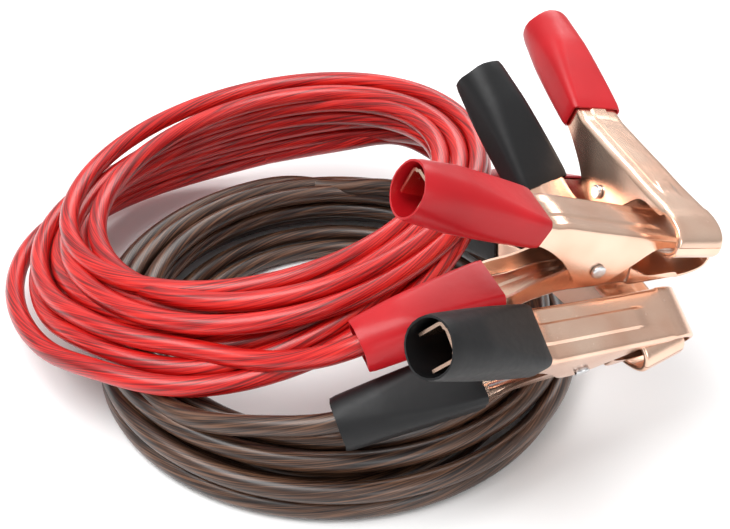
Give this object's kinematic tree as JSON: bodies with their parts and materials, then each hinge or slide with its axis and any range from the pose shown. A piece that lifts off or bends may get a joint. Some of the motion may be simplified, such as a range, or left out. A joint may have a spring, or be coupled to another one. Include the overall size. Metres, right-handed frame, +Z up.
{
  "type": "car jumper cables",
  "caption": "Red and brown-black car jumper cables, each coiled, with copper-plated crocodile clamps in vinyl sleeves.",
  "frame": {"origin": "under the middle of the whole set, on the surface it lies on", "axes": "+Z up; the clamps are at +X and the coils at -X; the red coil overhangs the black one at -X and +Y"},
  "size_m": [0.3176, 0.3128, 0.1544],
  "materials": {
    "copper_plate": "copper plated, bright",
    "steel": "bright",
    "red_vinyl": "satin",
    "black_vinyl": "satin",
    "red_jacket": "clear red over copper strands",
    "black_jacket": "smoky clear over copper strands"
  },
  "bodies": {
    "cables": {"black_coil": "black_jacket", "red_coil": "red_jacket", "front_red_base_half": "copper_plate", "front_red_base_sleeve": "red_vinyl", "front_red_rivet": "steel", "front_red_spring": "steel", "front_red_lead": "red_jacket", "front_black_base_half": "copper_plate", "front_black_base_sleeve": "black_vinyl", "front_black_rivet": "steel", "front_black_spring": "steel", "front_black_lead": "black_jacket", "back_red_base_half": "copper_plate", "back_red_base_sleeve": "red_vinyl", "back_red_rivet": "steel", "back_red_spring": "steel", "back_red_lead": "red_jacket", "back_black_base_half": "copper_plate", "back_black_base_sleeve": "black_vinyl", "back_black_rivet": "steel", "back_black_spring": "steel", "back_black_lead": "black_jacket"},
    "front_red_jaw": {"front_red_top_half": "copper_plate", "front_red_top_sleeve": "red_vinyl", "front_red_spring_leg": "steel"},
    "front_black_jaw": {"front_black_top_half": "copper_plate", "front_black_top_sleeve": "black_vinyl", "front_black_spring_leg": "steel"},
    "back_red_jaw": {"back_red_top_half": "copper_plate", "back_red_top_sleeve": "red_vinyl", "back_red_spring_leg": "steel"},
    "back_black_jaw": {"back_black_top_half": "copper_plate", "back_black_top_sleeve": "black_vinyl", "back_black_spring_leg": "steel"}
  },
  "joints": [
    {"name": "front_red_hinge", "type": "hinge", "parent": "cables", "child": "front_red_jaw", "pos_m": [0.10412, -0.06616, 0.094], "axis": [0.3405, -0.9351, -0.0981], "range_deg": [0, 6], "stiffness_Nm_per_rad": 1.5, "springref_deg": -28.65},
    {"name": "front_black_hinge", "type": "hinge", "parent": "cables", "child": "front_black_jaw", "pos_m": [0.09822, -0.09016, 0.0673], "axis": [0.3217, -0.781, -0.5353], "range_deg": [0, 25], "stiffness_Nm_per_rad": 1.5, "springref_deg": -28.65},
    {"name": "back_red_hinge", "type": "hinge", "parent": "cables", "child": "back_red_jaw", "pos_m": [0.12642, -0.02186, 0.0939], "axis": [-0.8974, -0.3621, 0.2521], "range_deg": [0, 25], "stiffness_Nm_per_rad": 1.5, "springref_deg": -28.65},
    {"name": "back_black_hinge", "type": "hinge", "parent": "cables", "child": "back_black_jaw", "pos_m": [0.10862, -0.03976, 0.0643], "axis": [-0.8194, -0.5731, 0.0154], "range_deg": [0, 3], "stiffness_Nm_per_rad": 1.5, "springref_deg": -28.65}
  ]
}
